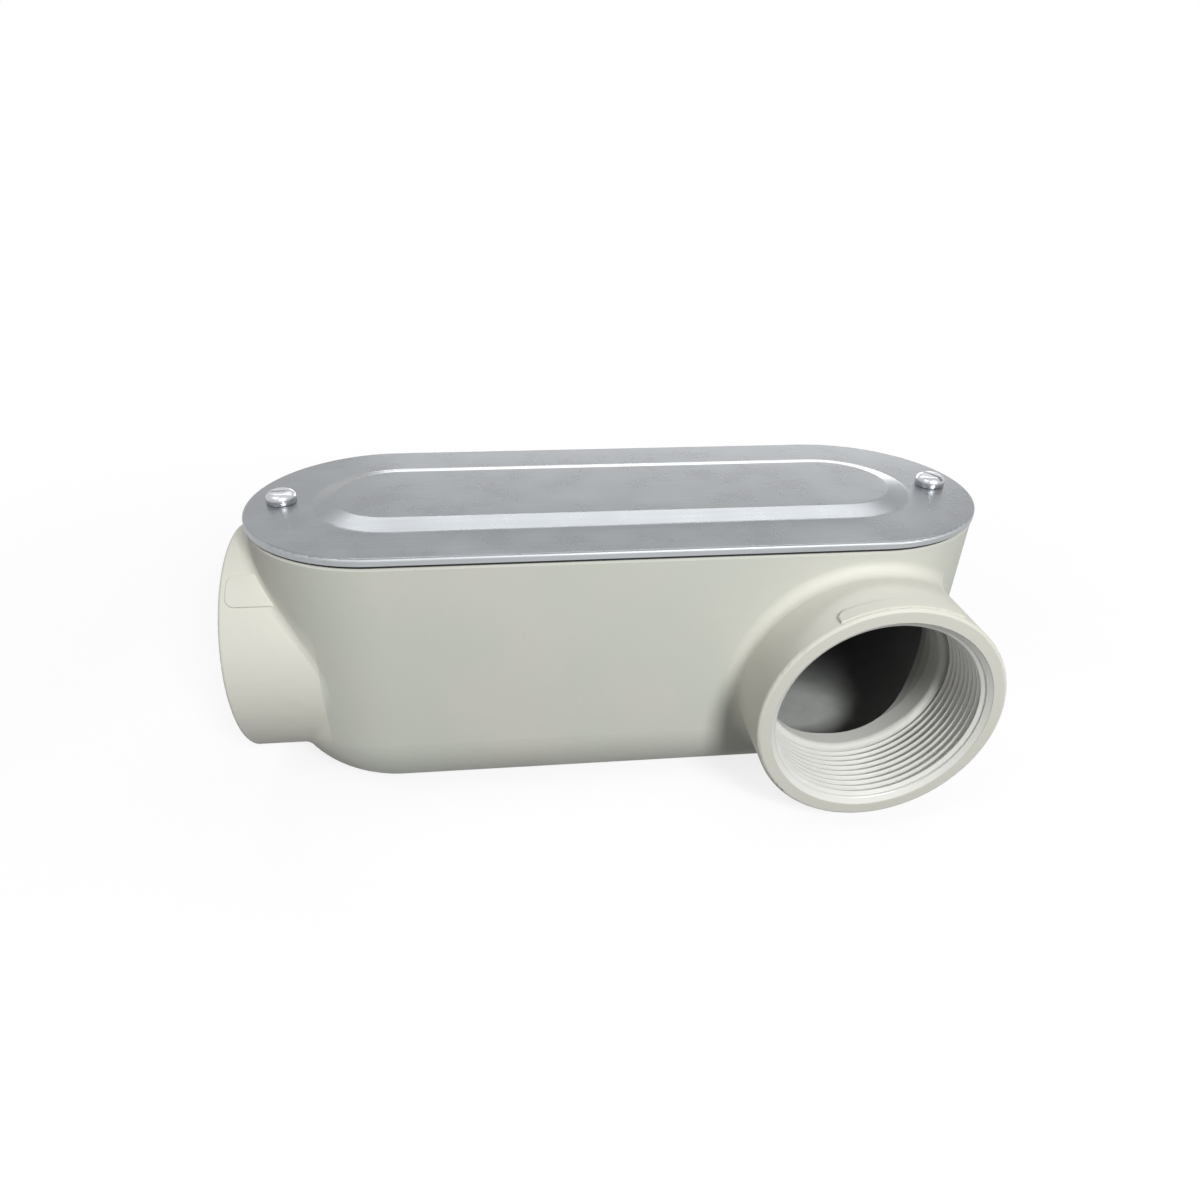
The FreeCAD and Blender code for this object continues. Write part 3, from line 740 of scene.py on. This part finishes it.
def gasket_rubber(finish):
    """Black rubber sheet, matt, with the fine pits of its pressed skin and a little dust."""
    material, tree, place = new_material("black_rubber_sheet")
    # Pits of 0.2 mm, drawn at 0.8 mm to show.
    pits = add_node(
        tree, "ShaderNodeTexNoise",
        {"Vector": place, "Scale": 1 / (0.8 * MM), "Detail": 3.0, "Roughness": 0.7},
    )
    dust_and_painted_light = add_node(
        tree, "ShaderNodeTexNoise", {"Vector": place, "Scale": 1 / (11 * MM), "Detail": 4.0}
    )
    amount = add_node(
        tree, "ShaderNodeMapRange",
        {
            "Value": dust_and_painted_light.outputs["Fac"], "From Min": 0.5, "From Max": 0.75,
            "To Min": 0.0, "To Max": 0.35,
        },
    )
    colour = add_node(
        tree, "ShaderNodeMix",
        {
            "Factor": amount.outputs["Result"], "A": colour4(finish.gasket),
            "B": colour4(finish.gasket, 3),
        },
        data_type="RGBA",
    )
    roughness = add_node(
        tree, "ShaderNodeMapRange",
        {
            "Value": pits.outputs["Fac"], "From Min": 0.3, "From Max": 0.7,
            "To Min": 0.7, "To Max": 0.88,
        },
    )
    bump = add_node(
        tree, "ShaderNodeBump",
        {"Strength": 0.4, "Distance": 0.05 * MM, "Height": pits.outputs["Fac"]},
    )
    shader = add_node(tree, "ShaderNodeBsdfPrincipled", {
        "Base Color": colour.outputs["Result"],
        "Roughness": roughness.outputs["Result"],
        "Normal": bump.outputs["Normal"],
    })
    add_node(tree, "ShaderNodeOutputMaterial", {"Surface": shader.outputs["BSDF"]})
    return material


def zinc_plate(finish):
    """Steel screw with bright zinc plate.

    The plate is smooth but for the fine ridges of the forged head, with a faint cloudiness
    that breaks its highlights.
    """
    material, tree, place = new_material("bright_zinc_plated_steel")
    cloud = add_node(
        tree, "ShaderNodeTexNoise",
        {"Vector": place, "Scale": 1 / (1.8 * MM), "Detail": 3.0, "Roughness": 0.6},
    )
    # Ridges of 0.1 mm, drawn at 0.5 mm to show.
    fine = add_node(
        tree, "ShaderNodeTexNoise", {"Vector": place, "Scale": 1 / (0.5 * MM), "Detail": 2.0}
    )
    colour = add_node(
        tree, "ShaderNodeMix",
        {
            "Factor": cloud.outputs["Fac"], "A": colour4(finish.screw, 0.86),
            "B": colour4(finish.screw),
        },
        data_type="RGBA",
    )
    roughness = add_node(
        tree, "ShaderNodeMapRange",
        {
            "Value": cloud.outputs["Fac"], "From Min": 0.3, "From Max": 0.7,
            "To Min": 0.26, "To Max": 0.38,
        },
    )
    bump = add_node(
        tree, "ShaderNodeBump",
        {"Strength": 0.2, "Distance": 0.03 * MM, "Height": fine.outputs["Fac"]},
    )
    shader = add_node(tree, "ShaderNodeBsdfPrincipled", {
        "Base Color": colour.outputs["Result"],
        "Roughness": roughness.outputs["Result"],
        "Metallic": 1.0,
        "Normal": bump.outputs["Normal"],
    })
    add_node(tree, "ShaderNodeOutputMaterial", {"Surface": shader.outputs["BSDF"]})
    return material


class CONDUIT_OT_finishes(bpy.types.Operator):
    """Gives the casting, the cover and the gasket their finishes"""

    bl_idname = "conduit.finishes"
    bl_label = "Finish Casting and Cover"

    def execute(self, context):
        finish = context.scene.conduit_finish
        paint(frame["nodes"]["body"], lacquered_casting(finish))
        paint(frame["nodes"]["cover"], satin_aluminium(finish))
        paint(frame["nodes"]["gasket"], gasket_rubber(finish))
        return {"FINISHED"}


class CONDUIT_OT_pipe_threads(bpy.types.Operator):
    """Cuts the tapered pipe thread in the end hub and the side hub"""

    bl_idname = "conduit.pipe_threads"
    bl_label = "Cut Pipe Threads"

    def execute(self, context):
        thread = context.scene.conduit_thread
        mouth = BORE_LENGTH + thread.lead_bevel
        sleeve = self.tap_sleeve(thread, mouth)
        bpy.ops.object.shade_smooth_by_angle(angle=THREAD_CREASE)
        paint(sleeve, cut_thread(context.scene.conduit_finish))
        for name, turn in (("end", (0, -math.pi / 2, 0)), ("side", (math.pi / 2, 0, 0))):
            mount = MOUNTS[name + "_hub_thread"]
            axis = Vector(mount["axis"])
            foot = Vector(mount["pos_m"]) - axis * BORE_LENGTH / 2
            copy = own_copy(sleeve, name + "_pipe_thread")
            set_down(copy, foot, turn)
            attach(copy, "housing")
        bpy.data.meshes.remove(sleeve.data)
        return {"FINISHED"}

    def wind_tap(self, thread, mouth):
        """A tapered screw with the form that the thread leaves in the bore."""
        pitch = thread.pitch
        root = BORE_RADIUS - SKIN_GAP
        crest = root - thread.height
        flat = pitch / 10
        flank = pitch / 2 - flat
        profile = [
            (root, 0), (root, flat),
            (crest, flat + flank), (crest, 2 * flat + flank),
            (root, pitch),
        ]
        turns = math.ceil(mouth / pitch) + 2 * SPARE_TURNS
        tap = draw_helix("tap", profile, pitch, turns, thread.steps)
        set_down(tap, (0, 0, -SPARE_TURNS * pitch), (0, 0, 0))
        # It stands past both ends of the bore, so that they are cut clean.
        past = 1 * MM
        trim(tap, -past, keep_above=True)
        trim(tap, mouth + past, keep_above=False)
        face_normals(tap)
        apply_modifier(
            tap, "SIMPLE_DEFORM", deform_method="TAPER", deform_axis="Z",
            factor=thread.taper * (mouth + 2 * past) / BORE_RADIUS,
        )
        return tap

    def tap_sleeve(self, thread, mouth):
        """A thin tube with the thread cut in it, from the bushing at height 0 up to the mouth."""
        tap = self.wind_tap(thread, mouth)
        choose_nothing()
        bpy.ops.mesh.primitive_cylinder_add(
            vertices=thread.steps, radius=BORE_RADIUS + SLEEVE_WALL, depth=mouth,
            location=(0, 0, mouth / 2),
        )
        sleeve = bpy.context.object
        bpy.ops.object.transform_apply(location=True, rotation=True, scale=True)
        cut_with(sleeve, tap)
        # The bevel that leads into the thread, a hair behind the hub's own: a cone of 45 degrees.
        wide = BORE_RADIUS + thread.lead_bevel + SKIN_GAP
        below, above = 12 * MM, 6 * MM
        choose_nothing()
        bpy.ops.mesh.primitive_cone_add(
            vertices=thread.steps, radius1=wide - below, radius2=wide + above, depth=below + above,
            location=(0, 0, mouth + (above - below) / 2),
        )
        cut_with(sleeve, bpy.context.object)
        choose(sleeve)
        return sleeve


class CONDUIT_OT_cover_screws(bpy.types.Operator):
    """Models the two slotted cover screws with their rolled threads"""

    bl_idname = "conduit.cover_screws"
    bl_label = "Model Cover Screws"

    def execute(self, context):
        thread = context.scene.conduit_thread
        screw = self.forge_head(thread)
        shank = self.roll_shank(thread)
        choose(shank, screw)
        bpy.ops.object.join()
        bpy.ops.object.shade_smooth_by_angle(angle=SCREW_CREASE)
        paint(screw, zinc_plate(context.scene.conduit_finish))
        for side, slot_angle in (("left", thread.left_slot), ("right", thread.right_slot)):
            copy = own_copy(screw, side + "_cover_screw")
            set_down(copy, JOINTS[side + "_screw_turn"]["pos_m"], (0, 0, slot_angle))
            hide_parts("cover_screw_" + side)
            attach(copy, side + "_screw")
        bpy.data.meshes.remove(screw.data)
        return {"FINISHED"}

    def forge_head(self, thread):
        """A round-topped head, slotted across, standing on its seat at height 0."""
        height = SCREW_HIGH.z - SCREW_SEAT
        radius = (SCREW_HIGH.x - SCREW_LOW.x) / 2
        choose_nothing()
        bpy.ops.mesh.primitive_cylinder_add(
            vertices=HEAD_STEPS, radius=radius, depth=height, location=(0, 0, height / 2)
        )
        head = bpy.context.object
        bpy.ops.object.transform_apply(location=True, rotation=True, scale=True)
        bevel_edges(
            head, lambda low, high: low > height - TOUCH,
            offset=thread.head_round, segments=10, profile=0.5,
        )
        bevel_edges(
            head, lambda low, high: high < TOUCH, offset=SEAT_BEVEL, segments=2, profile=0.5
        )
        choose_nothing()
        bpy.ops.mesh.primitive_cube_add(size=1, location=(0, 0, height))
        slot = bpy.context.object
        slot.scale = (4 * radius, thread.slot_width, 2 * thread.slot_depth)
        bpy.ops.object.transform_apply(location=True, rotation=True, scale=True)
        cut_with(head, slot)
        apply_modifier(
            head, "BEVEL", width=SLOT_EDGE, segments=2, limit_method="ANGLE",
            angle_limit=SLOT_CREASE,
        )
        return head

    def roll_shank(self, thread):
        """The threaded shank under the head, with its bevelled tip."""
        length = SCREW_SEAT - SCREW_LOW.z
        # The shank runs a little way up into the head. The thread is wound a little too wide
        # and long, and the bevelled blank cuts it to size.
        buried = 0.2 * MM
        over = 0.1 * MM
        pitch = thread.screw_pitch
        crest = thread.screw_radius + 0.03 * MM
        root = thread.screw_radius - thread.screw_height
        flat = pitch / 8
        flank = (pitch - 3 * flat) / 2
        profile = [
            (root, 0), (root, 2 * flat),
            (crest, 2 * flat + flank), (crest, 3 * flat + flank),
            (root, pitch),
        ]
        turns = math.ceil(length / pitch) + 2 * SPARE_TURNS
        shank = draw_helix("screw_shank", profile, pitch, turns, SCREW_STEPS)
        set_down(shank, (0, 0, -length - SPARE_TURNS * pitch), (0, 0, 0))
        face_normals(shank)
        trim(shank, -length - over, keep_above=True)
        trim(shank, buried + over, keep_above=False)
        choose_nothing()
        bpy.ops.mesh.primitive_cylinder_add(
            vertices=2 * SCREW_STEPS, radius=thread.screw_radius, depth=length + buried,
            location=(0, 0, (buried - length) / 2),
        )
        blank = bpy.context.object
        bpy.ops.object.transform_apply(location=True, rotation=True, scale=True)
        bevel_edges(
            blank, lambda low, high: high < TOUCH - length, offset=thread.tip_bevel, segments=1
        )
        cut_with(shank, blank, "INTERSECT")
        return shank


class CONDUIT_OT_studio(bpy.types.Operator):
    """Lays the pale floor and sets the soft lamps, the world and the camera"""

    bl_idname = "conduit.studio"
    bl_label = "Set Up Studio"

    def execute(self, context):
        studio = context.scene.conduit_studio
        self.lay_floor(studio)
        self.light_world(context.scene, studio)
        self.hang_lamps()
        self.place_camera(context.scene, studio)
        return {"FINISHED"}

    def lay_floor(self, studio):
        """A white painted floor that keeps the object's shadow."""
        choose_nothing()
        bpy.ops.mesh.primitive_plane_add(size=studio.floor_size)
        floor = bpy.context.object
        floor.name = "studio_floor"
        material, tree, place = new_material("matt_white_studio_paint")
        paint_layer = add_node(tree, "ShaderNodeBsdfDiffuse", {"Color": colour4(linear("#7C7C7C"))})
        # It glows to the eye only, and a little more away from the object, where no lamp reaches.
        away = add_node(tree, "ShaderNodeVectorMath", {0: place}, operation="LENGTH")
        level = add_node(
            tree, "ShaderNodeMapRange",
            {
                "Value": away.outputs["Value"], "From Min": 0.3, "From Max": 1.2,
                "To Min": 0.82, "To Max": 0.98,
            },
        )
        strength = add_node(
            tree, "ShaderNodeMath", {0: self.seen_directly(tree), 1: level.outputs["Result"]},
            operation="MULTIPLY",
        )
        glow = add_node(
            tree, "ShaderNodeEmission", {"Color": (1, 1, 1, 1), "Strength": strength.outputs[0]}
        )
        both = add_node(
            tree, "ShaderNodeAddShader", {0: paint_layer.outputs[0], 1: glow.outputs[0]}
        )
        add_node(tree, "ShaderNodeOutputMaterial", {"Surface": both.outputs[0]})
        paint(floor, material)

    def light_world(self, scene, studio):
        """White all round to the camera and in reflections, and softer as light."""
        world = bpy.data.worlds.new("white_studio")
        world.use_nodes = True
        scene.world = world
        tree = world.node_tree
        tree.nodes.clear()
        strength = add_node(
            tree, "ShaderNodeMix",
            {"Factor": self.seen_directly(tree), "A": studio.ambient, "B": 1.0}, data_type="FLOAT",
        )
        light = add_node(
            tree, "ShaderNodeBackground",
            {"Color": (1, 1, 1, 1), "Strength": strength.outputs["Result"]},
        )
        add_node(tree, "ShaderNodeOutputWorld", {"Surface": light.outputs[0]})

    def seen_directly(self, tree):
        """1 for what the eye sees directly, in a reflection or through glass, and 0 as light."""
        seen = add_node(tree, "ShaderNodeLightPath").outputs
        direct = seen["Is Camera Ray"]
        for other in ("Is Glossy Ray", "Is Transmission Ray"):
            direct = add_node(
                tree, "ShaderNodeMath", {0: direct, 1: seen[other]}, operation="MAXIMUM"
            ).outputs[0]
        return direct

    def hang_lamps(self):
        """A key in front on the right, a weak fill, a strip over the back and a low back lamp."""
        target = Vector((0.0, 0.0, 0.08))
        # Name, place, size in metres and power in watts.
        lamps = (
            ("key_lamp", (0.25, -0.85, 0.65), (0.25, 0.25), 9.2),
            ("fill_lamp", (-0.5, -0.35, 0.8), (0.4, 0.4), 1.6),
            ("strip_lamp", (0.1, 0.65, 1.0), (1.5, 0.2), 3.8),
            ("back_lamp", (0.2, 1.0, 0.2), (1.0, 0.3), 2.6),
        )
        for name, place, (width, height), power in lamps:
            data = bpy.data.lights.new(name, "AREA")
            data.shape = "RECTANGLE"
            data.size, data.size_y, data.energy = width, height, power
            lamp = bpy.data.objects.new(name, data)
            lamp.location = place
            lamp.rotation_euler = (target - Vector(place)).to_track_quat("-Z", "Y").to_euler()
            bpy.context.scene.collection.objects.link(lamp)

    def place_camera(self, scene, studio):
        """The camera, set by its heading, pitch and roll."""
        data = bpy.data.cameras.new("camera")
        data.sensor_width = SENSOR_WIDTH
        data.lens = studio.lens
        data.shift_x, data.shift_y = studio.shift_x, studio.shift_y
        data.clip_start, data.clip_end = 0.01, 20
        camera = bpy.data.objects.new("camera", data)
        turn = (
            Matrix.Rotation(-studio.heading, 3, "Z")
            @ Matrix.Rotation(math.pi / 2 - studio.pitch, 3, "X")
            @ Matrix.Rotation(studio.roll, 3, "Z")
        )
        camera.rotation_euler = turn.to_euler()
        camera.location = studio.place
        scene.collection.objects.link(camera)
        scene.camera = camera
        scene.view_settings.view_transform = "Standard"


class CONDUIT_PT_panel(bpy.types.Panel):
    """Lists the steps that dress the conduit body"""

    bl_label = "Conduit Body"
    bl_idname = "CONDUIT_PT_panel"
    bl_space_type = "VIEW_3D"
    bl_region_type = "UI"
    bl_category = "Conduit"

    def draw(self, context):
        for operator in STEPS:
            self.layout.operator(operator.bl_idname)
        for owner in SETTINGS:
            group = getattr(context.scene, owner)
            box = self.layout.box()
            for name in group.bl_rna.properties.keys():
                if name not in ("rna_type", "name"):
                    box.prop(group, name)


SETTINGS = {
    "conduit_finish": ConduitFinish,
    "conduit_thread": ConduitThread,
    "conduit_studio": ConduitStudio,
}
STEPS = (
    CONDUIT_OT_finishes,
    CONDUIT_OT_pipe_threads,
    CONDUIT_OT_cover_screws,
    CONDUIT_OT_studio,
)


def register():
    for item in (*SETTINGS.values(), *STEPS, CONDUIT_PT_panel):
        bpy.utils.register_class(item)
    for owner, group in SETTINGS.items():
        setattr(bpy.types.Scene, owner, bpy.props.PointerProperty(type=group))


def unregister():
    for owner in SETTINGS:
        delattr(bpy.types.Scene, owner)
    for item in (CONDUIT_PT_panel, *STEPS, *SETTINGS.values()):
        bpy.utils.unregister_class(item)


def main():
    register()
    bpy.ops.conduit.finishes()
    bpy.ops.conduit.pipe_threads()
    bpy.ops.conduit.cover_screws()
    bpy.ops.conduit.studio()


if __name__ == "__main__":
    main()
